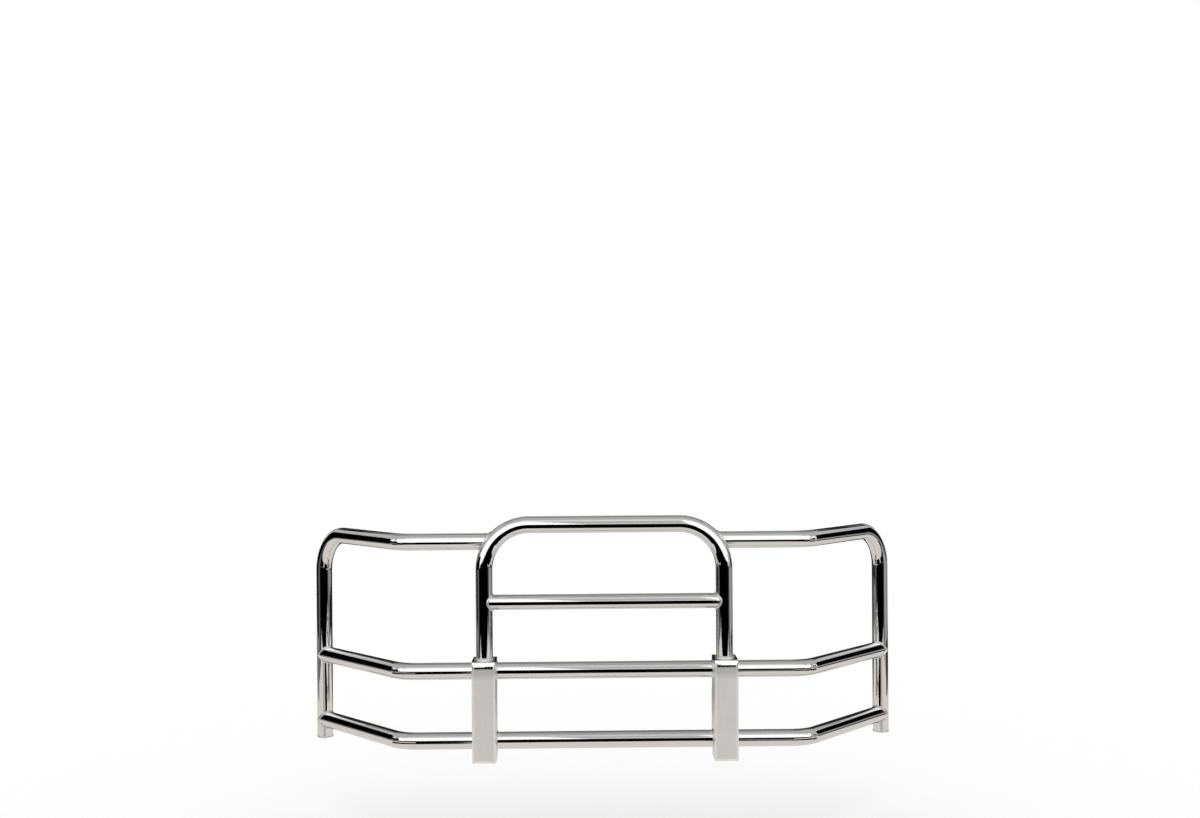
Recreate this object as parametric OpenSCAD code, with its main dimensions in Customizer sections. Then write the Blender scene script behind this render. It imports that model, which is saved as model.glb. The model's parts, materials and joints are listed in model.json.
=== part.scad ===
// Front grille guard for a heavy truck.
//
// A welded guard of bent round tube stands on two formed posts. Each post straddles the arm of a
// frame bracket: a bolt through its foot lets the whole guard fold forwards and down, so that the
// hood can be opened, and a lock pin near the middle bar holds it upright.
//
// +Z is up, the front of the guard faces -Y, and X runs across the truck. The origin is at the
// middle of the guard's footprint, level with the caps under its upright end tubes. Heights below
// are measured up from the feet of the posts, and "left" is the -X side.

/* [Tubing] */

// Outside diameter of the hoop, the bars and the wings
tube_d = 63.5; // [58:0.5:66]
// Outside diameter of the crossbar inside the hoop
cross_d = 57.2; // [50:0.1:58]
// Wall of every tube
tube_wall = 3; // [2:0.5:4]
// Radius of the polished weld round a bar's end
weld_r = 4; // [3:0.5:4]
// Radius of the weld round a hoop leg, on top of its post
leg_weld_r = 8; // [6:0.5:10]

/* [Centre hoop] */

// Distance from the middle of the guard to the middle of each hoop leg and post
post_x = 455; // [440:5:470]
// Height of the hoop's top tube
hoop_z = 887; // [871:2:921]
// How far the hoop stands ahead of the bars
hoop_ahead = 16; // [12:1:20]
// Bend radius of the hoop's corners
hoop_bend = 170; // [150:5:180]
// How far each hoop leg goes down inside its post
leg_inset = 100; // [60:5:110]

/* [Bars] */

// Height of the lower bar
lower_z = 68; // [60:1:80]
// Height of the middle bar
middle_z = 332; // [325:1:335]
// Height of the crossbar inside the hoop
cross_z = 594; // [540:2:640]
// Height of the upper side bars
upper_z = 823; // [800:1:830]
// Distance from the middle of the guard to the corners where the wings begin
corner_x = 766; // [740:1:790]
// Bend radius of these corners
wing_bend = 127; // [110:1:150]

/* [Wings] */

// Angle by which the wings sweep back
wing_angle = 48; // [42:1:52]
// Length of a wing, from its corner to the upright tube
wing_len = 554; // [514:2:574]
// Bend radius of the corner between the upper wing and the upright tube
corner_bend = 150; // [120:5:180]
// Height of the cap on the lower end of the upright tube
cap_h = 9; // [7:0.5:14]
// How far the cap's underside bulges
cap_dome = 4; // [2:0.5:5]
// How far the upright tube reaches below the feet of the posts
upright_drop = 10; // [4:1:20]

/* [Posts] */

// Width of a post
post_w = 88.9; // [84:0.1:92]
// Height of a post
post_h = 380; // [374:1:390]
// Distance from the middle of the tubes to the front face of a post
post_front = 90; // [84:1:96]
// Distance from the middle of the tubes to the back edges of a post
post_back = 36; // [36:0.5:37]
// Sheet thickness of the posts
post_t = 4.8; // [4:0.1:6]
// Outside radius of the folds round the front face
post_fold = 12; // [8:0.5:16]
// Depth of the lip folded back at the foot of the front face
foot_lip = 55; // [40:1:60]

/* [Pivot] */

// Distance of the pivot behind the middle of the tubes
pivot_back = 65; // [62:1:68]
// Height of the pivot
pivot_z = 52; // [50:1:54]
// Diameter of the pivot bolt
pivot_d = 24; // [20:1:26]
// Radius of the post's ears round the pivot
pivot_ear_r = 30; // [29:0.5:32]
// Thickness of the plates that double the ears at the pivot
doubler_t = 6; // [4:0.5:8]

/* [Lock] */

// Distance of the lock pin behind the middle of the tubes
lock_back = 62; // [60:1:64]
// Height of the lock pin
lock_z = 320; // [314:1:324]
// Diameter of the lock pin
lock_d = 19; // [16:0.5:20]
// Radius of the post's ears round the lock pin
lock_ear_r = 24; // [22:0.5:25]
// Length of the sleeve that guides the lock pin
guide_len = 30; // [20:1:40]
// How far the lock pin is drawn out to free the guard
lock_travel = 87; // [86:1:90]

/* [Frame brackets] */

// Distance from the middle of the guard to the middle of each bracket arm
arm_x = 472; // [470:1:474]
// Thickness of a bracket arm
arm_t = 12; // [10:1:14]
// Distance from the middle of the tubes to the face that meets the truck
flange_back = 230; // [222:1:250]
// Width of the flange
flange_w = 90; // [86:1:96]
// Height of the flange
flange_h = 212; // [204:1:220]
// Thickness of the flange
flange_t = 12.7; // [10:0.1:16]
// Height of the flange's lower edge
flange_z = 4; // [3:1:8]
// Distance between the bolt holes across the flange
bolt_gap_x = 50; // [48:1:54]
// Distance between the bolt holes up the flange
bolt_gap_z = 160; // [150:1:164]
// Diameter of the bolt holes
bolt_hole_d = 17.5; // [13:0.5:18]

/* [Hidden] */

$fn = 96;

LEFT = -1;
RIGHT = 1;

polished = "gainsboro";
satin = "silver";
powder_coat = [0.13, 0.13, 0.14];
zinc = [0.72, 0.72, 0.68];
bronze = [0.72, 0.53, 0.27];
black_rubber = [0.08, 0.08, 0.08];

tube_r = tube_d / 2;
cross_r = cross_d / 2;
// Clearance of a saddle cut round the tube that it meets
seat = 0.05;
// Radial clearance of a pin or bolt that turns or slides
running = 0.05;
// Radial clearance of a hole that a part only passes through
loose = 0.4;
// Overrun of a cut past the solid that it cuts
over = 1;

// Y of the middle of the tubes, which centres the guard's footprint on the origin
tube_y = (post_front - wing_len * sin(wing_angle) - tube_r) / 2;
// Middle of the tubes, level with the feet of the posts
middle = [0, tube_y, upright_drop];
// Length of straight tube that each bend takes from both sides of its corner
bend_reach = wing_bend * tan(wing_angle / 2);
bend_from = corner_x - bend_reach;
post_half = post_w / 2;
post_in = post_half - post_t;
hoop_centre_x = post_x - hoop_bend;
hoop_centre_z = hoop_z - hoop_bend;

// Along a post's own crosswise line, 0 is its middle and + is away from the middle of the guard
doubler_in = post_in - doubler_t;
bush_flange_t = 2.5;
bush_flange_gap = 0.5;
boss_half = doubler_in - bush_flange_t - bush_flange_gap;
bush_len = 28;
bush_r = pivot_d / 2 + 4;
bush_flange_r = bush_r + 6;
boss_r = bush_r + 9;
washer_t = 4;
washer_r = pivot_d * 0.92;
head_h = pivot_d * 0.62;
nut_h = pivot_d * 0.95;
hex_r = pivot_d * 0.866;
bolt_end = 4;
chamfer = 2;

// The lock boss, on the same crosswise line
lock_boss_from = 5;
lock_boss_to = 35;
lock_boss_r = lock_d / 2 + 9;
guide_r = lock_d / 2 + 6.5;
// Tip of the lock pin when it is drawn out, between the boss and the ear
pin_tip = lock_boss_to + 2;
pin_len = lock_travel + guide_len + post_half - pin_tip + 3;
handle_bend = 18;
handle_len = 52;

arm_front_r = 33;
arm_top_r = lock_ear_r + 2;
flange_front = flange_back - flange_t;
seat_plate_t = 6;
seat_plate_w = 50;
seat_plate_h = 60;
seat_z = 245;
pad_t = 10;
pad_gap = 0.3;
pad_w = 44;
pad_h = 54;
pad_corner = 6;
pad_front = post_back + pad_gap;
seat_front = pad_front + pad_t;
// The screws through the pad, two across it and two up it
screw_gap_x = 28;
screw_gap_z = 36;
screw_r = 3;
screw_head_r = 6;
screw_head_h = 3.4;
// How deep the screw heads lie below the face of the pad
screw_sink = 1;
strap_t = 6;
strap_h = 60;
gusset_t = 8;
gusset_len = 68;
gusset_w = 38;
fold_stop_r = 10;
fold_stop_z = 22;
// The bar stops just short of the arm's lower edge after a quarter turn
fold_stop_gap = 0.5;
fold_stop_y = pivot_back - pivot_z + flange_z - fold_stop_r - fold_stop_gap;

// ---- shared shapes ----

module on_side(side)
{
    mirror([side < 0 ? 1 : 0, 0, 0]) translate(middle) children();
}

module ring(r, wall)
{
    difference()
    {
        circle(r);
        circle(r - wall);
    }
}

module tube(length, r = tube_r)
{
    linear_extrude(length) ring(r, tube_wall);
}

// A turn of bent tube from +X towards +Y, round the origin
module elbow(bend_r, turn)
{
    rotate_extrude(angle = turn) translate([bend_r, 0]) ring(tube_r, tube_wall);
}

module along_x(from, y, z)
{
    translate([from, y, z]) rotate([0, 90, 0]) children();
}

// The weld between a tube on the Z axis and the plate at Z = 0
module weld_ring(r)
{
    rotate_extrude() intersection()
    {
        translate([tube_r, 0]) circle(r);
        translate([tube_r - over, 0]) square(r + 2 * over);
    }
}

// Outline in Y and Z, extruded across X between two places
module crosswise(from, to)
{
    translate([from, 0, 0]) rotate([90, 0, 90]) linear_extrude(to - from) children();
}

// Corners of the two straight edges that join two circles
function belt(a, ra, b, rb) =
    let (d = b - a, turn = atan2(d[1], d[0]), lean = acos((ra - rb) / norm(d)))
    [
        a + ra * [cos(turn + lean), sin(turn + lean)],
        a + ra * [cos(turn - lean), sin(turn - lean)],
        b + rb * [cos(turn - lean), sin(turn - lean)],
        b + rb * [cos(turn + lean), sin(turn + lean)]
    ];

// Two rounds joined by straight edges, which lie just inside the tangents
module lobe(a, ra, b, rb)
{
    translate(a) circle(ra);
    translate(b) circle(rb);
    polygon(belt(a, ra - seat, b, rb - seat));
}

module rounded(w, h, r)
{
    for (x = [r, w - r], y = [r, h - r]) translate([x, y]) circle(r);
    translate([r, 0]) square([w - 2 * r, h]);
    translate([0, r]) square([w, h - 2 * r]);
}

module hex_head(r, h)
{
    intersection()
    {
        cylinder(h = h, r = r, $fn = 6);
        cylinder(h = h, r1 = r + h - chamfer, r2 = r - chamfer);
    }
}

// ---- centre hoop ----

module centre_hoop()
{
    color(polished) translate(middle - [0, hoop_ahead, 0])
    {
        along_x(-hoop_centre_x, 0, hoop_z) tube(2 * hoop_centre_x);
        for (side = [LEFT, RIGHT]) mirror([side < 0 ? 1 : 0, 0, 0])
        {
            translate([hoop_centre_x, 0, hoop_centre_z]) rotate([90, 0, 0]) elbow(hoop_bend, 90);
            translate([post_x, 0, post_h - leg_inset]) tube(hoop_centre_z - post_h + leg_inset);
            translate([post_x, 0, post_h]) weld_ring(leg_weld_r);
        }
    }
}

module hoop_crossbar()
{
    color(polished) translate(middle - [0, hoop_ahead, 0]) difference()
    {
        along_x(-post_x, 0, cross_z) tube(2 * post_x, cross_r);
        for (x = [-post_x, post_x]) translate([x, 0, cross_z - cross_d])
            cylinder(h = 2 * cross_d, r = tube_r + seat);
    }
}

// ---- bars between the posts and out to the wings ----

module centre_bar(z)
{
    reach = post_x - post_half;
    color(polished) translate(middle)
    {
        along_x(-reach, 0, z) tube(2 * reach);
        along_x(-reach, 0, z) weld_ring(weld_r);
        mirror([1, 0, 0]) along_x(-reach, 0, z) weld_ring(weld_r);
    }
}

module side_bar(side, z)
{
    start = post_x + post_half;
    color(polished) on_side(side)
    {
        along_x(start, 0, z) tube(bend_from - start);
        along_x(start, 0, z) weld_ring(weld_r);
    }
}

// A disc round the middle of the hoop's bend, across the bars
module bend_disc(r)
{
    translate([hoop_centre_x, 2 * tube_r, hoop_centre_z]) rotate([90, 0, 0]) cylinder(h = 4 * tube_r, r = r);
}

// The hoop passes in front of the bar, which is cut round it. Behind the hoop the bar ends on the
// hoop's middle line, where a curved plate closes it.
module upper_bar(side)
{
    color(polished) on_side(side) difference()
    {
        union()
        {
            along_x(hoop_centre_x, 0, upper_z) tube(bend_from - hoop_centre_x);
            intersection()
            {
                along_x(hoop_centre_x, 0, upper_z) cylinder(h = 2 * hoop_bend, r = tube_r - over);
                bend_disc(hoop_bend + tube_wall);
            }
        }
        bend_disc(hoop_bend);
        translate([hoop_centre_x, -hoop_ahead, hoop_centre_z]) rotate([90, 0, 0])
            rotate_extrude(angle = 90) translate([hoop_bend, 0]) circle(tube_r + seat);
    }
}

// ---- wings and the upright tubes at their ends ----

// X runs along the wing from its corner
module along_wing()
{
    translate([corner_x, 0, 0]) rotate([0, 0, wing_angle]) children();
}

// The bend through which a bar turns into its wing, placed from the wing
module wing_elbow(z)
{
    translate([bend_reach, wing_bend, z]) mirror([1, 0, 0]) rotate([0, 0, -90])
        elbow(wing_bend, wing_angle);
}

module wing(side, z)
{
    color(polished) on_side(side) along_wing()
    {
        wing_elbow(z);
        difference()
        {
            along_x(bend_reach, 0, z) tube(wing_len - bend_reach);
            translate([wing_len, 0, z - tube_d]) cylinder(h = 2 * tube_d, r = tube_r + seat);
        }
    }
}

module outer_frame(side)
{
    straight = wing_len - corner_bend;
    foot = cap_h - upright_drop;
    color(polished) on_side(side) along_wing()
    {
        wing_elbow(upper_z);
        along_x(bend_reach, 0, upper_z) tube(straight - bend_reach);
        translate([straight, 0, upper_z - corner_bend]) rotate([90, 0, 0]) elbow(corner_bend, 90);
        translate([wing_len, 0, foot]) tube(upper_z - corner_bend - foot);
    }
}

module tube_cap(side)
{
    plug_r = tube_r - tube_wall - loose;
    plug_h = 14;
    dome_r = (pow(tube_r, 2) + pow(cap_dome, 2)) / (2 * cap_dome);
    color(polished) on_side(side) along_wing() translate([wing_len, 0, -upright_drop])
    {
        rotate_extrude() intersection()
        {
            translate([0, dome_r]) circle(dome_r);
            square([tube_r, cap_h]);
        }
        translate([0, 0, cap_h - over]) cylinder(h = plug_h + over, r = plug_r);
    }
}

// ---- posts ----

// Outline of the post's front and ends, grown inwards by t: Y and Z
module post_side(t)
{
    r = post_fold - t;
    h = post_h - 2 * t;
    translate([-post_front + t, t])
    {
        translate([r, 0]) square([post_front + post_back - t - r, h]);
        translate([0, r]) square([2 * r, h - 2 * r]);
        for (z = [r, h - r]) translate([r, z]) circle(r);
    }
}

// Outline of the post from above, grown inwards by t: X and Y
module post_plan(t)
{
    r = post_fold - t;
    half = post_half - t;
    depth = post_front + pivot_back + 2 * pivot_ear_r;
    translate([-half, -post_front + t])
    {
        translate([0, r]) square([2 * half, depth]);
        translate([r, 0]) square([2 * half - 2 * r, 2 * r]);
        for (x = [r, 2 * half - r]) translate([x, r]) circle(r);
    }
}

module post_outside()
{
    intersection()
    {
        translate([0, 0, -over]) linear_extrude(post_h + 2 * over) post_plan(0);
        crosswise(-post_w, post_w)
        {
            post_side(0);
            lobe([0, pivot_z], pivot_ear_r + 8, [pivot_back, pivot_z], pivot_ear_r);
            lobe([0, lock_z], lock_ear_r + 6, [lock_back, lock_z], lock_ear_r);
        }
    }
}

module post_hollow()
{
    open_from = -post_front + foot_lip;
    open_to = pivot_back + 2 * pivot_ear_r;
    intersection()
    {
        translate([0, 0, -2 * over]) linear_extrude(post_h) post_plan(post_t);
        crosswise(-post_w, post_w)
        {
            post_side(post_t);
            translate([open_from, -2 * over]) square([open_to - open_from, post_h - post_t + 2 * over]);
        }
    }
}

module post(side)
{
    color(satin) on_side(side) translate([post_x, 0, 0]) difference()
    {
        post_outside();
        post_hollow();
        translate([0, -hoop_ahead, post_h - 2 * post_t]) cylinder(h = 3 * post_t, r = tube_r + seat);
        along_x(-post_w, pivot_back, pivot_z) cylinder(h = 2 * post_w, r = pivot_d / 2 + loose);
        along_x(-post_w, lock_back, lock_z) cylinder(h = 2 * post_w, r = lock_d / 2 + loose);
    }
}

// Plate across the back of the post, which rests on the bump stop
module stop_strap(side)
{
    color(satin) on_side(side)
        translate([post_x - post_in, post_back - strap_t, seat_z - strap_h / 2])
            cube([2 * post_in, strap_t, strap_h]);
}

// Bar across the foot of the post, which meets the bracket arm when the guard is folded
module fold_stop(side)
{
    color(satin) on_side(side) along_x(post_x - post_in, fold_stop_y, fold_stop_z)
        cylinder(h = 2 * post_in, r = fold_stop_r);
}

module pivot_doublers(side)
{
    color(satin) on_side(side) for (x = [-post_in, doubler_in])
        translate([post_x, 0, 0]) difference()
        {
            crosswise(x, x + doubler_t)
                lobe([pivot_back - 22, pivot_z], pivot_ear_r - 4, [pivot_back, pivot_z], pivot_ear_r - 4);
            along_x(x - over, pivot_back, pivot_z)
                cylinder(h = doubler_t + 2 * over, r = pivot_d / 2 + loose);
        }
}

// ---- pivot bolt ----

module at_pivot(side)
{
    on_side(side) along_x(post_x, pivot_back, pivot_z) children();
}

module pivot_bolt(side)
{
    under_head = post_half + washer_t;
    shank = 2 * under_head + nut_h + bolt_end;
    color(zinc) at_pivot(side) translate([0, 0, under_head])
    {
        hex_head(hex_r, head_h);
        translate([0, 0, -shank + chamfer]) cylinder(h = shank - chamfer + over, r = pivot_d / 2);
        translate([0, 0, -shank]) cylinder(h = chamfer, r1 = pivot_d / 2 - chamfer, r2 = pivot_d / 2);
    }
}

module pivot_washers(side)
{
    color(zinc) at_pivot(side) for (z = [-post_half - washer_t, post_half]) translate([0, 0, z])
        linear_extrude(washer_t) ring(washer_r, washer_r - pivot_d / 2 - loose);
}

module pivot_nut(side)
{
    color(zinc) at_pivot(side) translate([0, 0, -post_half - washer_t]) mirror([0, 0, 1]) difference()
    {
        hex_head(hex_r, nut_h);
        translate([0, 0, -over]) cylinder(h = nut_h + 2 * over, r = pivot_d / 2);
    }
}

// ---- lock pin ----

module pin_guide(side)
{
    color(satin) on_side(side) along_x(post_x + post_half, lock_back, lock_z)
        linear_extrude(guide_len) ring(guide_r, guide_r - lock_d / 2 - running);
}

// The pin is drawn out: its tip has left the boss and stands inside the outer ear
module lock_pin(side)
{
    r = lock_d / 2;
    color(zinc) on_side(side) translate([post_x + pin_tip, lock_back, lock_z])
    {
        along_x(0, 0, 0) cylinder(h = chamfer, r1 = r - chamfer, r2 = r);
        along_x(chamfer, 0, 0) cylinder(h = pin_len - chamfer, r = r);
        translate([pin_len, handle_bend, 0]) rotate([0, 0, -90])
            rotate_extrude(angle = 90) translate([handle_bend, 0]) circle(r);
        translate([pin_len + handle_bend, handle_bend, 0]) rotate([-90, 0, 0])
        {
            cylinder(h = handle_len - chamfer, r = r);
            translate([0, 0, handle_len - chamfer]) cylinder(h = chamfer, r1 = r, r2 = r - chamfer);
        }
    }
}

// ---- frame brackets ----

module bracket_arm(side)
{
    pivot = [pivot_back, pivot_z];
    lock = [lock_back, lock_z];
    heel = [pivot_back + arm_front_r * 0.7, flange_z];
    notch_h = seat_plate_h + 2 * over;
    scoop_r = 108;
    color(powder_coat) on_side(side) difference()
    {
        crosswise(arm_x - arm_t / 2, arm_x + arm_t / 2) difference()
        {
            union()
            {
                lobe(pivot, arm_front_r, lock, arm_top_r);
                polygon([
                    pivot - [0, arm_front_r / 2], heel, [flange_front, flange_z],
                    [flange_front, flange_z + flange_h], lock + [arm_top_r / 2, 0], lock
                ]);
            }
            translate([flange_front + 6, lock_z + 4]) circle(scoop_r);
            translate([0, seat_z - notch_h / 2]) square([seat_front + seat_plate_t, notch_h]);
        }
        along_x(arm_x - arm_t, pivot_back, pivot_z) cylinder(h = 2 * arm_t, r = boss_r);
        along_x(arm_x - arm_t, lock_back, lock_z) cylinder(h = 2 * arm_t, r = lock_boss_r);
    }
}

module bracket_flange(side)
{
    corner = 10;
    color(powder_coat) on_side(side) translate([arm_x, flange_back, flange_z + flange_h / 2])
        rotate([90, 0, 0]) linear_extrude(flange_t) difference()
        {
            translate([-flange_w / 2, -flange_h / 2]) rounded(flange_w, flange_h, corner);
            for (x = [-1, 1], z = [-1, 1]) translate([x * bolt_gap_x / 2, z * bolt_gap_z / 2])
                circle(bolt_hole_d / 2);
        }
}

module bracket_gussets(side)
{
    toe = 10;
    color(powder_coat) on_side(side) for (way = [-1, 1])
        translate([arm_x + way * arm_t / 2, flange_front, flange_z + (flange_h - gusset_t) / 2])
            linear_extrude(gusset_t) polygon([
                [0, 0], [way * gusset_w, 0], [way * gusset_w, -toe],
                [way * toe, -gusset_len], [0, -gusset_len]
            ]);
}

module pivot_boss(side)
{
    color(powder_coat) at_pivot(side) translate([0, 0, -boss_half])
        linear_extrude(2 * boss_half) ring(boss_r, boss_r - bush_r);
}

module pivot_bushes(side)
{
    bore = pivot_d / 2 + running;
    color(bronze) at_pivot(side) for (way = [-1, 1]) scale([1, 1, way]) difference()
    {
        union()
        {
            translate([0, 0, boss_half - bush_len]) cylinder(h = bush_len, r = bush_r);
            translate([0, 0, boss_half]) cylinder(h = bush_flange_t, r = bush_flange_r);
        }
        cylinder(h = 2 * boss_half, r = bore);
    }
}

module lock_boss(side)
{
    color(powder_coat) on_side(side) along_x(post_x + lock_boss_from, lock_back, lock_z)
        linear_extrude(lock_boss_to - lock_boss_from)
            ring(lock_boss_r, lock_boss_r - lock_d / 2 - loose);
}

// ---- bump stops ----

module at_screws(side, y)
{
    on_side(side) for (x = [-1, 1], z = [-1, 1])
        translate([arm_x + x * screw_gap_x / 2, y, seat_z + z * screw_gap_z / 2])
            rotate([-90, 0, 0]) children();
}

module stop_seat(side)
{
    color(powder_coat) difference()
    {
        on_side(side) translate([arm_x - seat_plate_w / 2, seat_front, seat_z - seat_plate_h / 2])
            cube([seat_plate_w, seat_plate_t, seat_plate_h]);
        at_screws(side, seat_front - over) cylinder(h = seat_plate_t + 2 * over, r = screw_r);
    }
}

module bump_stop(side)
{
    color(black_rubber) difference()
    {
        on_side(side) translate([arm_x - pad_w / 2, seat_front, seat_z - pad_h / 2])
            rotate([90, 0, 0]) linear_extrude(pad_t) rounded(pad_w, pad_h, pad_corner);
        at_screws(side, pad_front - over) cylinder(h = pad_t + 2 * over, r = screw_r);
        at_screws(side, pad_front - over)
            cylinder(h = screw_head_h + screw_sink + over, r = screw_head_r);
    }
}

module stop_screws(side)
{
    color(zinc) at_screws(side, pad_front + screw_sink)
    {
        cylinder(h = screw_head_h, r = screw_head_r);
        cylinder(h = pad_t + seat_plate_t - screw_sink, r = screw_r);
    }
}

centre_hoop();
hoop_crossbar();
post(LEFT);  // left_post
post(RIGHT);  // right_post
upper_bar(LEFT);  // upper_bar_left
upper_bar(RIGHT);  // upper_bar_right
centre_bar(middle_z);  // middle_bar_centre
side_bar(LEFT, middle_z);  // middle_bar_left
side_bar(RIGHT, middle_z);  // middle_bar_right
centre_bar(lower_z);  // lower_bar_centre
side_bar(LEFT, lower_z);  // lower_bar_left
side_bar(RIGHT, lower_z);  // lower_bar_right
wing(LEFT, middle_z);  // middle_wing_left
wing(RIGHT, middle_z);  // middle_wing_right
wing(LEFT, lower_z);  // lower_wing_left
wing(RIGHT, lower_z);  // lower_wing_right
outer_frame(LEFT);  // outer_frame_left
outer_frame(RIGHT);  // outer_frame_right
tube_cap(LEFT);  // tube_cap_left
tube_cap(RIGHT);  // tube_cap_right
stop_strap(LEFT);  // stop_strap_left
stop_strap(RIGHT);  // stop_strap_right
fold_stop(LEFT);  // fold_stop_left
fold_stop(RIGHT);  // fold_stop_right
pivot_doublers(LEFT);  // pivot_doublers_left
pivot_doublers(RIGHT);  // pivot_doublers_right
pivot_bolt(LEFT);  // pivot_bolt_left
pivot_bolt(RIGHT);  // pivot_bolt_right
pivot_washers(LEFT);  // pivot_washers_left
pivot_washers(RIGHT);  // pivot_washers_right
pivot_nut(LEFT);  // pivot_nut_left
pivot_nut(RIGHT);  // pivot_nut_right
pin_guide(LEFT);  // pin_guide_left
pin_guide(RIGHT);  // pin_guide_right
lock_pin(LEFT);  // lock_pin_left
lock_pin(RIGHT);  // lock_pin_right
bracket_arm(LEFT);  // bracket_arm_left
bracket_arm(RIGHT);  // bracket_arm_right
bracket_flange(LEFT);  // bracket_flange_left
bracket_flange(RIGHT);  // bracket_flange_right
bracket_gussets(LEFT);  // bracket_gussets_left
bracket_gussets(RIGHT);  // bracket_gussets_right
pivot_boss(LEFT);  // pivot_boss_left
pivot_boss(RIGHT);  // pivot_boss_right
pivot_bushes(LEFT);  // pivot_bushes_left
pivot_bushes(RIGHT);  // pivot_bushes_right
lock_boss(LEFT);  // lock_boss_left
lock_boss(RIGHT);  // lock_boss_right
stop_seat(LEFT);  // stop_seat_left
stop_seat(RIGHT);  // stop_seat_right
bump_stop(LEFT);  // bump_stop_left
bump_stop(RIGHT);  // bump_stop_right
stop_screws(LEFT);  // stop_screws_left
stop_screws(RIGHT);  // stop_screws_right
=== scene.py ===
import json
import math

import bpy
from mathutils import Matrix, Vector


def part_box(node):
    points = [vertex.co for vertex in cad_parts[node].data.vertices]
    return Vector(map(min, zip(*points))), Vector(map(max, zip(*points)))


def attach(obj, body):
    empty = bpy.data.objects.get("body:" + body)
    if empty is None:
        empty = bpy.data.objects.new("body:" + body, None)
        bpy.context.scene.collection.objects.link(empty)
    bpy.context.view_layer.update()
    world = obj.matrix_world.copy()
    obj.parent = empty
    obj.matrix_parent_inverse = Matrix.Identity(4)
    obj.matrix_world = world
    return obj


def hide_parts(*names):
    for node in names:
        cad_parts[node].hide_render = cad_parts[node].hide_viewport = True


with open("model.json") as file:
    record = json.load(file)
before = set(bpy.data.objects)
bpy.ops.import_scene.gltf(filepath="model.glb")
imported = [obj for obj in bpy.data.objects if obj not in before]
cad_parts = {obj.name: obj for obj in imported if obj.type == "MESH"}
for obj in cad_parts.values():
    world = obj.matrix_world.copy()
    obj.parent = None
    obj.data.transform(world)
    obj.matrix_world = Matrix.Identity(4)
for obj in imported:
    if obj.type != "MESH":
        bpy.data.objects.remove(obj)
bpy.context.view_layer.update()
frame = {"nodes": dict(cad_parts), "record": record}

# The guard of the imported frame, dressed: the tubes, weld beads and rolled posts are made here,
# and every other node keeps its shape and gets a material.

scene = bpy.context.scene
nodes = frame["nodes"]

X = Vector((1, 0, 0))
Y = Vector((0, 1, 0))
Z = Vector((0, 0, 1))
SIDES = {"left": -1, "right": 1}


# ---- sizes and places, in metres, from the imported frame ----

def low(node):
    return Vector(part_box(node)[0])


def high(node):
    return Vector(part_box(node)[1])


def centre(node):
    return (low(node) + high(node)) / 2


TUBE_R = 0.03175
TUBE_WALL = 0.003
RING = 96  # points round a tube
HOOP_BEND = 0.170
CORNER_BEND = 0.150
WING_BEND = 0.127
WING_ANGLE = math.radians(48.0)

# weld beads: between bar and post, round a hoop's leg, on the crossbar, the wings and the upper
# bars, and round the end of an upright
WELD_R = 0.004
LEG_WELD_R = 0.007
CROSS_WELD_R = 0.0045
WING_WELD_R = 0.0045
UPPER_WELD_R = 0.0055
CAP_WELD_R = 0.0014

# the marks of the bending tool: how deep, where they are from the bend's end, and how wide
PRESS_MARKS = [(0.0009, -0.056, 0.008), (0.0010, -0.034, 0.008), (0.0008, -0.006, 0.008)]

# the post's top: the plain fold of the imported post, then the wide roll and the tight edge
POST_FOLD = 0.012
ROLL_R = 0.040
ROLL_TURN = math.radians(33.0)
ROLL_EDGE_R = 0.006

TUBE_Y = centre("middle_bar_centre").y
POST_X = centre("right_post").x
POST_HALF = (high("right_post").x - low("right_post").x) / 2
POST_TOP = high("right_post").z
ROLL_Z = POST_TOP - ROLL_R * math.sin(ROLL_TURN) - ROLL_EDGE_R * (1 - math.sin(ROLL_TURN))
FOOT_Z = low("right_post").z
HOOP_Y = centre("hoop_crossbar").y
HOOP_Z = high("centre_hoop").z - TUBE_R
HOOP_CENTRE_X = POST_X - HOOP_BEND
HOOP_CENTRE_Z = HOOP_Z - HOOP_BEND
LEG_END_Z = low("centre_hoop").z
CROSS_R = (high("hoop_crossbar").z - low("hoop_crossbar").z) / 2
CROSS_Z = centre("hoop_crossbar").z
UPPER_Z = high("upper_bar_right").z - TUBE_R
MIDDLE_Z = centre("middle_bar_centre").z
LOWER_Z = centre("lower_bar_centre").z
BEND_FROM = high("middle_bar_right").x
UPRIGHT = centre("tube_cap_right")
FRAME_END_Z = low("outer_frame_right").z

FLOOR_DROP = 0.31
FLOOR_Z = FOOT_Z - FLOOR_DROP


# ---- camera ----

def make_camera():
    """The photograph's camera. It looks level from a little left of the middle, turned slightly
    right, with a slight roll. Its place is given from the bars' middle line, at the height of the
    posts' feet."""
    focal_px = 1406.0
    photo_w = 1200.0
    sensor_w = 36.0
    turn = math.radians(0.7)
    roll = math.radians(0.4)
    place = Vector((-0.0111, -5.343, 1.323))
    data = bpy.data.cameras.new("camera")
    data.sensor_width = sensor_w
    data.lens = focal_px / photo_w * sensor_w
    data.clip_end = 100.0
    camera = bpy.data.objects.new("camera", data)
    scene.collection.objects.link(camera)
    camera.matrix_world = (
        Matrix.Translation((0.0, TUBE_Y, FOOT_Z))
        @ Matrix.Rotation(-turn, 4, "Z")
        @ Matrix.Translation(place)
        @ Matrix.Rotation(math.radians(90.0), 4, "X")
        @ Matrix.Rotation(-roll, 4, "Z")
    )
    scene.camera = camera


make_camera()


# ---- node trees ----

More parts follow.
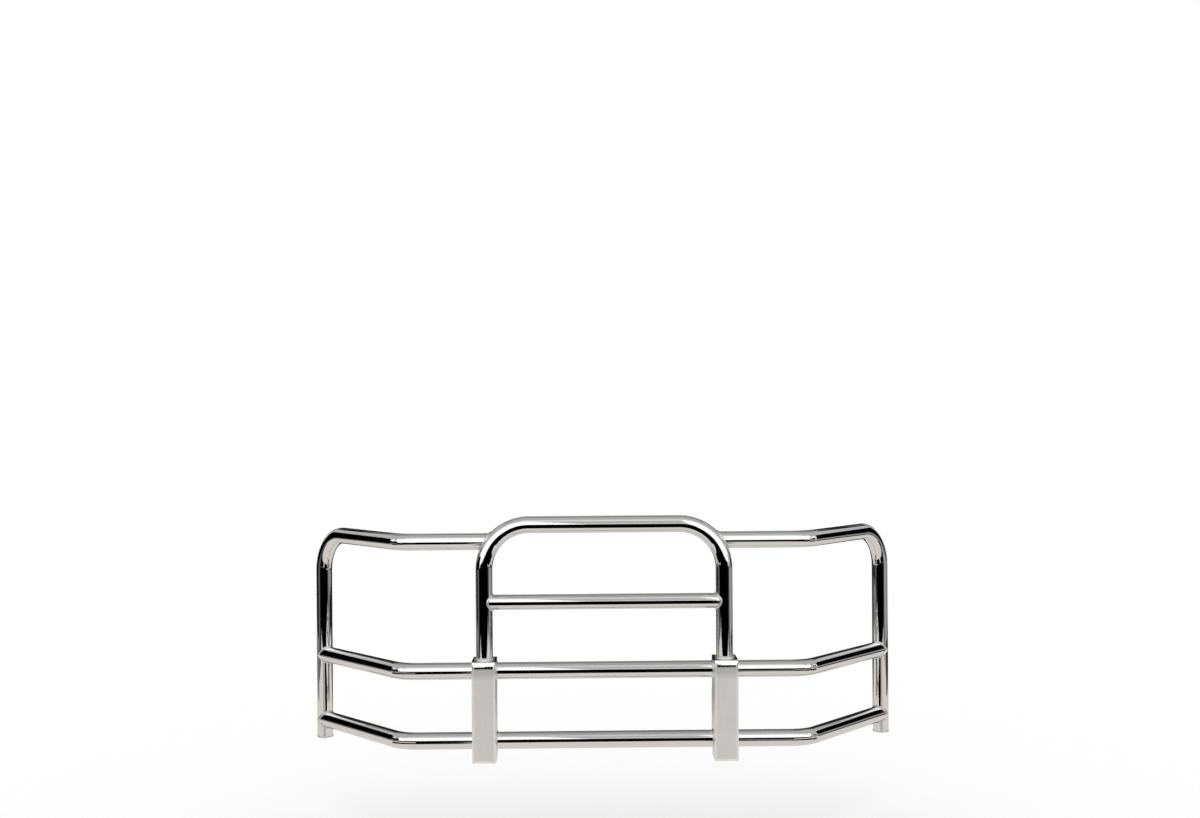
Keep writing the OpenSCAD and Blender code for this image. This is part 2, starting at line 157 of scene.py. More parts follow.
class Graph:
    """A material's or world's node tree, with short calls to add and join nodes."""

    def __init__(self, owner):
        owner.use_nodes = True
        self.tree = owner.node_tree
        self.tree.nodes.clear()

    def add(self, kind, **settings):
        node = self.tree.nodes.new(kind)
        for key, value in settings.items():
            setattr(node, key, value)
        return node

    def feed(self, socket, value):
        if isinstance(value, bpy.types.NodeSocket):
            self.tree.links.new(value, socket)
        else:
            socket.default_value = value

    def math(self, operation, *values):
        node = self.add("ShaderNodeMath", operation=operation)
        for socket, value in zip(node.inputs, values):
            self.feed(socket, value)
        return node.outputs[0]

    def spread(self, value, from_low, from_high, to_low, to_high):
        """Carries a number from one range to another."""
        node = self.add("ShaderNodeMapRange")
        for socket, number in zip(node.inputs, (value, from_low, from_high, to_low, to_high)):
            self.feed(socket, number)
        return node.outputs[0]

    def place(self, source="Object", scale=(1.0, 1.0, 1.0)):
        """A texture coordinate, stretched."""
        coordinate = self.add("ShaderNodeTexCoord")
        mapping = self.add("ShaderNodeMapping")
        self.feed(mapping.inputs["Vector"], coordinate.outputs[source])
        mapping.inputs["Scale"].default_value = scale
        return mapping.outputs[0]

    def part(self, axis, vector):
        """One number of a vector."""
        node = self.add("ShaderNodeSeparateXYZ")
        self.feed(node.inputs[0], vector)
        return node.outputs[axis]

    def noise(self, place, scale, detail=2.0, roughness=0.5):
        node = self.add("ShaderNodeTexNoise")
        self.feed(node.inputs["Vector"], place)
        node.inputs["Scale"].default_value = scale
        node.inputs["Detail"].default_value = detail
        node.inputs["Roughness"].default_value = roughness
        return node.outputs["Fac"]

    def ramp(self, value, stops, interpolation="LINEAR"):
        node = self.add("ShaderNodeValToRGB")
        ramp = node.color_ramp
        ramp.interpolation = interpolation
        while len(ramp.elements) > 1:
            ramp.elements.remove(ramp.elements[0])
        for i, (at, colour) in enumerate(stops):
            element = ramp.elements[0] if i == 0 else ramp.elements.new(at)
            element.position = at
            element.color = (*colour, 1.0)
        self.feed(node.inputs[0], value)
        return node.outputs[0]

    def blend(self, factor, first, second):
        node = self.add("ShaderNodeMix", data_type="RGBA")
        self.feed(node.inputs["Factor"], factor)
        self.feed(node.inputs["A"], first)
        self.feed(node.inputs["B"], second)
        return node.outputs["Result"]

    def bump(self, height, distance, strength=1.0, below=None):
        node = self.add("ShaderNodeBump")
        self.feed(node.inputs["Strength"], strength)
        node.inputs["Distance"].default_value = distance
        self.feed(node.inputs["Height"], height)
        if below is not None:
            self.feed(node.inputs["Normal"], below)
        return node.outputs[0]

    def surface(self, shader):
        kind = "World" if isinstance(self.tree.id_data, bpy.types.World) else "Material"
        out = self.add(f"ShaderNodeOutput{kind}")
        self.feed(out.inputs["Surface"], shader)


def rgb(*values):
    return (*values, 1.0)


def grey(value):
    return (value, value, value)


# ---- materials ----

def new_material(name, colour, metallic, roughness):
    material = bpy.data.materials.new(name)
    graph = Graph(material)
    shader = graph.add("ShaderNodeBsdfPrincipled")
    shader.inputs["Base Color"].default_value = rgb(*colour)
    shader.inputs["Metallic"].default_value = metallic
    shader.inputs["Roughness"].default_value = roughness
    graph.surface(shader.outputs[0])
    return material, graph, shader


def polished_steel(name, round_lines):
    """Mirror-polished stainless steel: faint smears, and fine lines where the mop ran."""
    material, graph, shader = new_material(name, (0.88, 0.875, 0.865), 1.0, 0.05)
    place = graph.place()
    smears = graph.noise(place, 9.0, detail=4.0, roughness=0.6)
    if round_lines:
        lines = graph.noise(graph.place("UV", (2.0, 900.0, 1.0)), 1.0, detail=3.0)
    else:
        lines = graph.noise(graph.place(scale=(300.0, 300.0, 40.0)), 1.0, detail=2.0)
    graph.feed(shader.inputs["Roughness"], graph.spread(smears, 0.35, 0.75, 0.028, 0.07))
    waves = graph.bump(graph.noise(place, 14.0, detail=1.0), 0.0004, 0.15)
    graph.feed(shader.inputs["Normal"], graph.bump(lines, 0.00001, 0.35, waves))
    return material


def weld_steel():
    """The polished weld: the same steel, a little duller and warmer in its valleys."""
    material, graph, shader = new_material("polished_weld", (0.84, 0.83, 0.81), 1.0, 0.08)
    place = graph.place()
    patches = graph.noise(place, 120.0, detail=3.0)
    tint = graph.ramp(patches, [(0.35, (0.86, 0.855, 0.845)), (0.75, (0.80, 0.775, 0.73))])
    graph.feed(shader.inputs["Base Color"], tint)
    graph.feed(shader.inputs["Roughness"], graph.spread(patches, 0.3, 0.7, 0.04, 0.12))
    graph.feed(shader.inputs["Normal"], graph.bump(graph.noise(place, 400.0), 0.0002, 0.4))
    return material


def satin_steel():
    """Stainless sheet brushed up and down. Under its rolled top it is painted a darker grey, a band
    of painted shade that stands in for a dark reflection. The rolled top is polished together with
    the weld there."""
    material, graph, shader = new_material("satin_steel", (0.80, 0.785, 0.76), 0.55, 0.3)
    brushing = graph.noise(graph.place(scale=(900.0, 900.0, 9.0)), 1.0, detail=4.0, roughness=0.6)
    clouds = graph.noise(graph.place(), 11.0, detail=3.0)
    strokes = graph.math("MULTIPLY", brushing, 0.7)
    shade = graph.math("ADD", strokes, graph.math("MULTIPLY", clouds, 0.3))
    height = graph.part("Z", graph.place())
    # painted shade: a band under the rolled top where the face is blended to a darker grey,
    # standing in for a dark reflection
    painted_shade_from, painted_shade_full = ROLL_Z - 0.045, ROLL_Z - 0.020
    polish_from, polish_full = ROLL_Z - 0.005, ROLL_Z + 0.001
    painted_shade = graph.spread(height, painted_shade_from, painted_shade_full, 0.0, 0.9)
    polish = graph.spread(height, polish_from, polish_full, 0.0, 1.0)

    def polished(before, after):
        return graph.spread(polish, 0.0, 1.0, before, after)

    tone = graph.ramp(shade, [(0.3, (0.82, 0.795, 0.76)), (0.7, (0.92, 0.90, 0.87))])
    # the painted shade band: the face turns darker grey just under the rolled top
    tone = graph.blend(painted_shade, tone, rgb(0.62, 0.61, 0.60))
    tone = graph.blend(polish, tone, rgb(0.90, 0.895, 0.885))
    rough = graph.spread(shade, 0.3, 0.7, 0.26, 0.38)
    rough = graph.math("MULTIPLY", rough, polished(1.0, 0.15))
    graph.feed(shader.inputs["Base Color"], tone)
    graph.feed(shader.inputs["Metallic"], polished(0.4, 1.0))
    graph.feed(shader.inputs["Roughness"], rough)
    graph.feed(shader.inputs["Normal"], graph.bump(brushing, 0.00008, polished(0.5, 0.05)))
    return material


def powder_coat():
    """Black powder coat with its fine orange peel."""
    material, graph, shader = new_material("powder_coat", (0.018, 0.018, 0.019), 0.0, 0.38)
    place = graph.place()
    peel = graph.noise(place, 650.0, detail=2.0)
    dust = graph.noise(place, 25.0, detail=4.0)
    tone = graph.ramp(dust, [(0.4, (0.014, 0.014, 0.015)), (0.75, (0.030, 0.029, 0.028))])
    graph.feed(shader.inputs["Base Color"], tone)
    graph.feed(shader.inputs["Roughness"], graph.spread(dust, 0.35, 0.75, 0.32, 0.48))
    graph.feed(shader.inputs["Normal"], graph.bump(peel, 0.0003, 0.5))
    return material


def zinc_plate():
    """Clear zinc plating, with a faint blue and yellow cast."""
    material, graph, shader = new_material("zinc_plate", (0.66, 0.67, 0.68), 1.0, 0.3)
    place = graph.place()
    cast = graph.noise(place, 60.0, detail=3.0)
    tints = [(0.3, (0.60, 0.63, 0.68)), (0.55, (0.66, 0.66, 0.65)), (0.8, (0.68, 0.64, 0.54))]
    tone = graph.ramp(cast, tints)
    graph.feed(shader.inputs["Base Color"], tone)
    graph.feed(shader.inputs["Roughness"], graph.spread(cast, 0.3, 0.7, 0.24, 0.40))
    graph.feed(shader.inputs["Normal"], graph.bump(graph.noise(place, 900.0), 0.0001, 0.4))
    return material


def bronze():
    """Turned bronze, a little worn."""
    material, graph, shader = new_material("bronze", (0.50, 0.32, 0.13), 1.0, 0.32)
    place = graph.place()
    wear = graph.noise(place, 90.0, detail=3.0)
    tone = graph.ramp(wear, [(0.3, (0.38, 0.23, 0.09)), (0.7, (0.58, 0.39, 0.17))])
    graph.feed(shader.inputs["Base Color"], tone)
    graph.feed(shader.inputs["Roughness"], graph.spread(wear, 0.3, 0.7, 0.24, 0.42))
    return material


def rubber():
    """Matt black rubber with a pale bloom."""
    material, graph, shader = new_material("rubber", (0.022, 0.022, 0.022), 0.0, 0.75)
    place = graph.place()
    grain = graph.noise(place, 800.0, detail=2.0)
    bloom = graph.noise(place, 40.0, detail=3.0)
    tone = graph.ramp(bloom, [(0.4, (0.018, 0.018, 0.018)), (0.8, (0.045, 0.044, 0.042))])
    graph.feed(shader.inputs["Base Color"], tone)
    graph.feed(shader.inputs["Normal"], graph.bump(grain, 0.0002, 0.5))
    return material


TUBE_STEEL = polished_steel("polished_tube", True)
WELD_STEEL = weld_steel()
SLOT_MATERIAL = {
    "polished_tube": polished_steel("polished_cap", False),
    "satin_post": satin_steel(),
    "powder_coat": powder_coat(),
    "zinc_plate": zinc_plate(),
    "bronze_bush": bronze(),
    "stop_rubber": rubber(),
}

for part in frame["record"]["subparts"]:
    materials = nodes[part["node"]].data.materials
    materials.clear()
    materials.append(SLOT_MATERIAL[part["material_slot"]])


# ---- pieces ----

def new_piece(name, mesh, material, body="guard", replaces=()):
    """A visible piece that rides on a body, in place of the nodes that it replaces."""
    piece = bpy.data.objects.new(name, mesh)
    scene.collection.objects.link(piece)
    mesh.materials.append(material)
    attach(piece, body)
    if replaces:
        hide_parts(*replaces)


# A tube's end is cut to what it meets: each of these gives how far a point of its wall runs,
# from the end of the tube's middle line and away from it, to the surface that cuts it.

def to_round(point, axis, radius):
    """Cut to a straight round tube."""
    def run(start, way):
        off = (start - point) - (start - point).dot(axis) * axis
        across = way - way.dot(axis) * axis
        a = across.dot(across)
        b = off.dot(across)
        c = off.dot(off) - radius ** 2
        return (-b + math.sqrt(max(b * b - a * c, 0.0))) / a
    return run


def to_bend(middle, bend_r, radius):
    """Cut to a bent tube that turns round a point and passes in front of this one. Behind it, the
    end follows its middle line."""
    def run(start, way):
        aside = start.y - middle.y
        ring = bend_r + math.sqrt(max(radius ** 2 - aside ** 2, 0.0))
        reach = math.sqrt(ring ** 2 - (start.z - middle.z) ** 2)
        return reach + (middle - start).dot(way)
    return run


def straight(start, end):
    """Stations from one point to another."""
    way = (end - start).normalized()
    return [(start, way), (end, way)]


def bend(middle, first, last, radius, turn=math.pi / 2, steps=36):
    """Stations along a turn round a point, that starts in the direction first and turns to last."""
    stations = []
    for i in range(steps + 1):
        a = turn * i / steps
        out = math.cos(a) * first + math.sin(a) * last
        stations.append((middle + radius * out, math.cos(a) * last - math.sin(a) * first))
    return stations


def pressed(mark, length, way, out):
    """The way that a tube's outside faces where a mark presses it in."""
    step = 0.0005
    turn = 0.02
    aside = way.cross(out)
    along = (mark(length + step, out) - mark(length - step, out)) / (2 * step)
    ends = [mark(length, (out + side * turn * aside).normalized()) for side in (1, -1)]
    around = (ends[0] - ends[1]) / (2 * turn * TUBE_R)
    return (out + along * way + around * aside).normalized()


def tube(name, stations, replaces, radius=TUBE_R, start=None, end=None, mark=None):
    """A piece of tube with its real wall. Stations are points of its middle line, with the way that
    it runs there. A mark gives how deep the outside is pressed in, from the length run so far and
    the side that is faced. Returns its two rims."""
    count = len(stations)
    sides = [stations[0][1].orthogonal().normalized()]
    for (_, before), (_, way) in zip(stations, stations[1:]):
        sides.append(before.rotation_difference(way) @ sides[-1])
    points, outs, lengths = [], [], []
    for size in (radius, radius - TUBE_WALL):
        length = 0.0
        for i, (at, way) in enumerate(stations):
            if i:
                length += (at - stations[i - 1][0]).length
            other = way.cross(sides[i])
            for k in range(RING):
                a = 2 * math.pi * k / RING
                out = math.cos(a) * sides[i] + math.sin(a) * other
                point = at + size * out
                faces_to = out
                if mark and size == radius:
                    point -= mark(length, out) * out
                    faces_to = pressed(mark, length, way, out)
                run = 0.0
                if i == 0 and start:
                    run = start(point, way)
                if i == count - 1 and end:
                    run = -end(point, -way)
                points.append(point + run * way)
                outs.append(faces_to)
                lengths.append(length + run)

    def corner(i, k, inner=0):
        return (inner * count + i) * RING + k % RING

    faces = []
    for i in range(count - 1):
        for k in range(RING):
            faces.append((corner(i, k), corner(i, k + 1), corner(i + 1, k + 1), corner(i + 1, k)))
    for i in range(count - 1):
        for k in range(RING):
            inner = (corner(i, k, 1), corner(i + 1, k, 1))
            faces.append(inner + (corner(i + 1, k + 1, 1), corner(i, k + 1, 1)))
    walls = len(faces)
    last = count - 1
    for k in range(RING):
        faces.append((corner(0, k + 1), corner(0, k), corner(0, k, 1), corner(0, k + 1, 1)))
        outer = (corner(last, k), corner(last, k + 1))
        faces.append(outer + (corner(last, k + 1, 1), corner(last, k, 1)))

    mesh = bpy.data.meshes.new(name)
    mesh.from_pydata(points, [], faces, shade_flat=False)
    runs = mesh.uv_layers.new(name="run")
    normals = []
    for face in mesh.polygons:
        closes = any(v % RING == RING - 1 for v in face.vertices)
        for loop in face.loop_indices:
            v = mesh.loops[loop].vertex_index
            around = RING if closes and v % RING == 0 else v % RING
            runs.data[loop].uv = (around / RING, lengths[v])
            if face.index < walls:
                normals.append(outs[v] if v < count * RING else -outs[v])
            else:
                normals.append(face.normal.copy())
    mesh.normals_split_custom_set(normals)
    new_piece(name, mesh, TUBE_STEEL, replaces=replaces)
    return points[:RING], points[(count - 1) * RING:count * RING]


def resample(loop, count):
    """The same closed line, with evenly spaced points."""
    line = loop + loop[:1]
    marks = [0.0]
    for a, b in zip(line, line[1:]):
        marks.append(marks[-1] + (b - a).length)
    points = []
    at = 0
    for i in range(count):
        mark = marks[-1] * i / count
        while at < len(line) - 2 and marks[at + 1] < mark:
            at += 1
        step = marks[at + 1] - marks[at]
        points.append(line[at].lerp(line[at + 1], (mark - marks[at]) / step if step else 0.0))
    return points


def weld_bead(name, loop, radius=WELD_R):
    """A polished weld bead laid along a closed line, with the ripples of its runs."""
    section = 12
    per_ripple = 6
    pitch = 0.0055
    swell = 0.12
    mean_ripple = 0.6
    length = sum((b - a).length for a, b in zip(loop, loop[1:] + loop[:1]))
    count = max(round(length / pitch), 3) * per_ripple
    points = resample(loop, count)
    middle = sum(points, Vector()) / count
    verts = []
    for i, point in enumerate(points):
        way = (points[(i + 1) % count] - points[i - 1]).normalized()
        out = point - middle
        out = (out - out.dot(way) * way).normalized()
        side = way.cross(out)
        ripple = abs(math.sin(math.pi * i / per_ripple))
        size = radius * (1 + swell * (ripple - mean_ripple))
        for k in range(section):
            a = 2 * math.pi * k / section
            verts.append(point + size * (math.cos(a) * out + math.sin(a) * side))
    faces = []
    for i in range(count):
        j = (i + 1) % count
        for k in range(section):
            n = (k + 1) % section
            faces.append((i * section + k, i * section + n, j * section + n, j * section + k))
    mesh = bpy.data.meshes.new(name)
    mesh.from_pydata(verts, [], faces, shade_flat=False)
    new_piece(name, mesh, WELD_STEEL)


def circle(middle, axis, radius):
    """Points round a circle."""
    count = 64
    side = axis.orthogonal().normalized()
    other = axis.cross(side)
    angles = [2 * math.pi * i / count for i in range(count)]
    return [middle + radius * (math.cos(a) * side + math.sin(a) * other) for a in angles]


# ---- the tube frame ----

def on_plane(x, z, y=TUBE_Y):
    """A point on the upright plane of the bars, or on the one at y."""
    return Vector((x, y, z))


def make_hoop():
    foot = on_plane(POST_X, LEG_END_Z, HOOP_Y)
    turn = on_plane(HOOP_CENTRE_X, HOOP_CENTRE_Z, HOOP_Y)
    flip = Matrix.Diagonal((-1, 1, 1))
    stations = [(flip @ foot, Z)]
    stations += bend(flip @ turn, -X, Z, HOOP_BEND)
    stations += bend(turn, Z, X, HOOP_BEND)
    stations += [(foot, -Z)]
    tube("hoop_tube", stations, ["centre_hoop"])
    for name, side in SIDES.items():
        base = on_plane(side * POST_X, POST_TOP, HOOP_Y)
        weld_bead(f"hoop_weld_{name}", circle(base, Z, TUBE_R), LEG_WELD_R)


def make_crossbar():
    legs = [on_plane(side * POST_X, CROSS_Z, HOOP_Y) for side in (-1, 1)]
    cuts = [to_round(leg, Z, TUBE_R) for leg in legs]
    rims = tube("crossbar_tube", straight(*legs), ["hoop_crossbar"], CROSS_R, *cuts)
    for name, rim in zip(SIDES, rims):
        weld_bead(f"crossbar_weld_{name}", rim, CROSS_WELD_R)


def make_centre_bars():
    inside = POST_X - POST_HALF
    for level, z in (("middle", MIDDLE_Z), ("lower", LOWER_Z)):
        line = straight(on_plane(-inside, z), on_plane(inside, z))
        rims = tube(f"{level}_centre_tube", line, [f"{level}_bar_centre"])
        for name, rim in zip(SIDES, rims):
            weld_bead(f"{level}_weld_in_{name}", rim)


def wing_way(side):
    """The way that the wings on one side run."""
    return Vector((side * math.cos(WING_ANGLE), math.sin(WING_ANGLE), 0.0))


def wing_turn(side, z):
    """The bend from a bar into its wing, and the first of the wing, as far as the marks reach."""
    steps = 48
    pitch = 0.002
    past = 14
    middle = on_plane(side * BEND_FROM, z) + WING_BEND * Y
    stations = bend(middle, -Y, side * X, WING_BEND, WING_ANGLE, steps)
    at, way = stations[-1]
    return stations + [(at + pitch * step * way, way) for step in range(1, past + 1)]


def press_marks(side, start_x):
    """The shallow marks that the bending tool left on the outside of a bend, near its end, on a
    tube that starts at start_x. They face ahead, turned outwards and a little up."""
    bend_end = BEND_FROM - start_x + WING_BEND * WING_ANGLE
    outwards = 0.7
    up = 0.25
    focus = 4
    middle = Vector((side * math.sin(outwards), -math.cos(outwards), up)).normalized()

    def mark(length, out):
        depth = sum(deep * math.exp(-((length - bend_end - ahead) / wide) ** 2)
                    for deep, ahead, wide in PRESS_MARKS)
        return depth * max(out.dot(middle), 0.0) ** focus
    return mark


def make_side_bars():
    outside = POST_X + POST_HALF
    for name, side in SIDES.items():
        upright = Vector((side * UPRIGHT.x, UPRIGHT.y, 0.0))
        for level, z in (("middle", MIDDLE_Z), ("lower", LOWER_Z)):
            line = [(on_plane(side * outside, z), side * X)]
            line += wing_turn(side, z)
            line += [(upright + z * Z, wing_way(side))]
            replaced = [f"{level}_bar_{name}", f"{level}_wing_{name}"]
            cut = to_round(upright + z * Z, Z, TUBE_R)
            mark = press_marks(side, outside)
            rims = tube(f"{level}_side_tube_{name}", line, replaced, end=cut, mark=mark)
            weld_bead(f"{level}_weld_out_{name}", rims[0])
            weld_bead(f"{level}_wing_weld_{name}", rims[1], WING_WELD_R)


def make_upper_sides():
    for name, side in SIDES.items():
        turn = on_plane(side * HOOP_CENTRE_X, HOOP_CENTRE_Z, HOOP_Y)
        upright = Vector((side * UPRIGHT.x, UPRIGHT.y, 0.0))
        elbow = upright - CORNER_BEND * wing_way(side) + (UPPER_Z - CORNER_BEND) * Z
        line = [(on_plane(turn.x, UPPER_Z), side * X)]
        line += wing_turn(side, UPPER_Z)
        line += bend(elbow, Z, wing_way(side), CORNER_BEND)
        line += [(upright + FRAME_END_Z * Z, -Z)]
        replaced = [f"upper_bar_{name}", f"outer_frame_{name}"]
        cut = to_bend(turn, HOOP_BEND, TUBE_R)
        mark = press_marks(side, HOOP_CENTRE_X)
        rims = tube(f"upper_side_tube_{name}", line, replaced, start=cut, mark=mark)
        weld_bead(f"upper_weld_{name}", rims[0], UPPER_WELD_R)
        weld_bead(f"cap_weld_{name}", rims[1], CAP_WELD_R)
        make_end_plate(name, side, turn)


def make_end_plate(name, side, turn):
    """The curved plate that closes an upper bar behind the hoop. It starts just inside the hoop's
    tube, and ends just short of the bar's wall."""
    rows, columns = 10, 24
    bore = TUBE_R - TUBE_WALL
    overlap = 0.001
    within_bore = 0.998
    sharp_from = math.radians(40.0)
    front = HOOP_Y + TUBE_R - overlap - TUBE_Y
    sheet = []
    for depth in (0.0, TUBE_WALL):
        for row in range(rows + 1):
            reach = within_bore * bore - front
            aside = front + reach * math.sin(math.pi / 2 * row / rows)
            half = math.sqrt(bore ** 2 - aside ** 2)
            for column in range(columns + 1):
                z = UPPER_Z + half * (2 * column / columns - 1)
                x = turn.x + side * (math.sqrt(HOOP_BEND ** 2 - (z - turn.z) ** 2) + depth)
                sheet.append(Vector((x, TUBE_Y + aside, z)))
    wide = columns + 1
    back = (rows + 1) * wide
    faces = []
    for row in range(rows):
        for column in range(columns):
            a = row * wide + column
            quad = (a, a + 1, a + 1 + wide, a + wide)
            faces.append(quad)
            faces.append(tuple(v + back for v in reversed(quad)))
    border = list(range(wide)) + [row * wide + columns for row in range(1, rows + 1)]
    border += [rows * wide + i for i in range(columns - 1, -1, -1)]
    border += [row * wide for row in range(rows - 1, 0, -1)]
    for a, b in zip(border, border[1:] + border[:1]):
        faces.append((b, a, a + back, b + back))
    if side > 0:
        faces = [tuple(reversed(face)) for face in faces]
    mesh = bpy.data.meshes.new(f"upper_end_plate_{name}")
    mesh.from_pydata(sheet, [], faces)
    mesh.shade_smooth()
    mesh.set_sharp_from_angle(angle=sharp_from)
    new_piece(mesh.name, mesh, SLOT_MATERIAL["polished_tube"])


# ---- posts ----

def roll(angle, inset):
    """Where a point of the post's top fold goes in the wide roll that ends in a tight edge: how far
    it is behind the front, its height, and the way that the sheet faces there."""
    wide_share = 0.8
    edge_share = 0.2
    share = angle / (math.pi / 2)
    if share < wide_share:
        turn = ROLL_TURN * share / wide_share
        size = ROLL_R - inset
        behind = ROLL_R - size * math.cos(turn)
        z = ROLL_Z + size * math.sin(turn)
    else:
        turn = ROLL_TURN + (math.pi / 2 - ROLL_TURN) * (share - wide_share) / edge_share
        size = ROLL_EDGE_R - inset
        behind = ROLL_R - (ROLL_R - ROLL_EDGE_R) * math.cos(ROLL_TURN) - size * math.cos(turn)
        z = POST_TOP - ROLL_EDGE_R + size * math.sin(turn)
    return behind, z, Vector((0.0, -math.cos(turn), math.sin(turn)))


def make_posts():
    """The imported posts, with the top of the front rolled wider than the plain fold. Only normals
    that faced out of the fold, or into it, are turned along."""
    touching = 1e-5
    square_on = 0.97
    for name in SIDES:
        node = f"{name}_post"
        front = low(node).y
        mesh = nodes[node].data.copy()
        mesh.name = f"{name}_post_rolled"
        mesh.materials.clear()
        normals = [normal.vector.copy() for normal in mesh.corner_normals]
        rolled = {}
        for vertex in mesh.vertices:
            up = vertex.co.z - (POST_TOP - POST_FOLD)
            ahead = front + POST_FOLD - vertex.co.y
            if up > -touching and ahead > -touching:
                angle = math.atan2(max(up, 0.0), max(ahead, 0.0))
                behind, z, faces = roll(angle, POST_FOLD - math.hypot(up, ahead))
                rolled[vertex.index] = (Vector((0.0, -math.cos(angle), math.sin(angle))), faces)
                vertex.co.y = front + behind
                vertex.co.z = z
        for loop in mesh.loops:
            if loop.vertex_index in rolled:
                before, after = rolled[loop.vertex_index]
                along = normals[loop.index].dot(before)
                if abs(along) > square_on:
                    normals[loop.index] = math.copysign(1.0, along) * after
        mesh.normals_split_custom_set(normals)
        new_piece(mesh.name, mesh, SLOT_MATERIAL["satin_post"], replaces=[node])


# ---- the guard ----

make_posts()
make_hoop()
make_crossbar()
make_centre_bars()
make_side_bars()
make_upper_sides()


# ---- stage ----

# the cards in front of the guard: where they stand, and half of how far they run
FRONT_Y = TUBE_Y - 2.45
FRONT_HALF = 3.5

BLACK = grey(0.0)
CONCRETE = (0.69, 0.66, 0.62)


def only_reflected(thing):
    """Keep a card out of the picture and out of the light, so that only steel mirrors it."""
    thing.visible_camera = False
    thing.visible_diffuse = False
    thing.visible_shadow = False


def panel(name, corners, material):
    """One flat face."""
    mesh = bpy.data.meshes.new(name)
    mesh.from_pydata(corners, [], [(0, 1, 2, 3)])
    mesh.materials.append(material)
    thing = bpy.data.objects.new(name, mesh)
    scene.collection.objects.link(thing)
    return thing


def flat(left, right, front, back, z):
    """The corners of a level rectangle."""
    places = ((left, front), (right, front), (right, back), (left, back))
    return [Vector((x, y, z)) for x, y in places]


def glow(name):
    """A material that shows its own colour, and the socket for that colour."""
    material = bpy.data.materials.new(name)
    graph = Graph(material)
    shader = graph.add("ShaderNodeEmission")
    graph.surface(shader.outputs[0])
    return material, graph, shader.inputs["Color"]


def board(name, corner, along, up, bands, interpolation="CONSTANT", lean=0.0):
    """An upright card with bands of colour: pairs of the height where one starts and its colour.
    Its second upper corner may lean aside."""
    material, graph, colour = glow(name)
    height = graph.part("Z", graph.place())
    share = graph.spread(height, corner.z, corner.z + up.z, 0.0, 1.0)
    stops = [((z - corner.z) / up.z, shade) for z, shade in bands]
    graph.feed(colour, graph.ramp(share, stops, interpolation))
    corners = [corner, corner + along, corner + along + up, corner + up + lean * X]
    only_reflected(panel(name, corners, material))


def plain_board(name, corner, along, up, shade):
    """An upright card of one grey."""
    board(name, corner, along, up, [(corner.z, grey(shade))])


def make_floor():
    """White, with the guard's shadow. The polished steel sees the world's ground instead."""
    reach = 40.0
    material, _, shader = new_material("floor", (1.0, 1.0, 1.0), 0.0, 1.0)
    shader.inputs["Specular IOR Level"].default_value = 0.0
    floor = panel("floor", flat(-reach, reach, -reach, reach, FLOOR_Z), material)
    floor.visible_glossy = False


def make_front_boards():
    """Low black cards in front, a card between them with haze over it, and a black mat."""
    left, right = -0.62, 0.66
    card_z = -0.12
    left_up, middle_up, right_up = 0.78 * Z, 1.28 * Z, 0.80 * Z
    corner = Vector((-FRONT_HALF, FRONT_Y, card_z))
    plain_board("front_card_left", corner, (left + FRONT_HALF) * X, left_up, 0.0)
    corner = Vector((left, FRONT_Y, FLOOR_Z))
    plain_board("front_card_middle", corner, (right - left) * X, middle_up, 0.0)

    haze_x, haze_z = -0.05, 0.98
    haze_up, haze_lean = 2.62 * Z, -0.4
    haze = [(haze_z, 0.72), (1.3, 0.60), (1.8, 0.50), (2.4, 0.46), (3.6, 0.52)]
    bands = [(z, grey(shade)) for z, shade in haze]
    corner = Vector((haze_x, FRONT_Y, haze_z))
    board("front_haze", corner, (right - haze_x) * X, haze_up, bands, "LINEAR", haze_lean)
    corner = Vector((right, FRONT_Y, card_z))
    plain_board("front_card_right", corner, (FRONT_HALF - right) * X, right_up, 0.0)

    thickness = 0.002
    mat_back = TUBE_Y - 1.05
    material, graph, colour = glow("mat")
    graph.feed(colour, rgb(*BLACK))
    corners = flat(left, right, FRONT_Y, mat_back, FLOOR_Z + thickness)
    only_reflected(panel("mat", corners, material))


def make_skirts():
    """Cards low down beside the guard, from the front cards backwards."""
    skirt_z = -0.22
    skirt_up = 0.70 * Z
    turn_run, side_run = 1.3 * Y, 1.2 * Y
    shades = {"left": (0.0, 0.12), "right": (0.05, 0.35)}
    for name, side in SIDES.items():
        corner = Vector((side * FRONT_HALF, FRONT_Y, skirt_z))
        turn_shade, side_shade = shades[name]
        plain_board(f"{name}_skirt", corner, turn_run, skirt_up, turn_shade)
        plain_board(f"{name}_side_skirt", corner + turn_run, side_run, skirt_up, side_shade)


def make_side_and_back_boards():
    """Cards beside the wings and behind the guard."""
    aside = 3.4
    side_y = -0.1
    side_run, side_up = 2.7 * Y, 2.25 * Z
    stripes = {
        "left": [(FLOOR_Z, grey(0.2)), (0.05, BLACK)],
        "right": [(FLOOR_Z, BLACK), (0.0, grey(0.28)), (0.45, BLACK)],
    }
    dark = 0.02
    back_y = 2.0
    high_run, high_up = 0.8, 0.55 * Z
    high_places = {"in": (1.15, 1.6), "out": (1.95, 2.05)}
    for name, side in SIDES.items():
        corner = Vector((side * aside, side_y, FLOOR_Z))
        board(f"{name}_card", corner, side_run, side_up, stripes[name])
        for place, (x, z) in high_places.items():
            corner = Vector((side * x, back_y, z))
            plain_board(f"{name}_back_card_{place}", corner, side * high_run * X, high_up, dark)

    # cards high up beside the front: where each starts, and how far it runs back
    turn_z, turn_up = 0.45, 0.8 * Z
    turn_cards = {"left": (-1.7, 1.6), "right": (-1.25, 0.55)}
    for name, (y, run) in turn_cards.items():
        corner = Vector((SIDES[name] * aside, y, turn_z))
        plain_board(f"{name}_turn_card", corner, run * Y, turn_up, 0.0)

    back_half, back_up = 2.2, 1.9 * Z
    corner = Vector((-back_half, back_y, FLOOR_Z))
    plain_board("back_card", corner, 2 * back_half * X, back_up, dark)


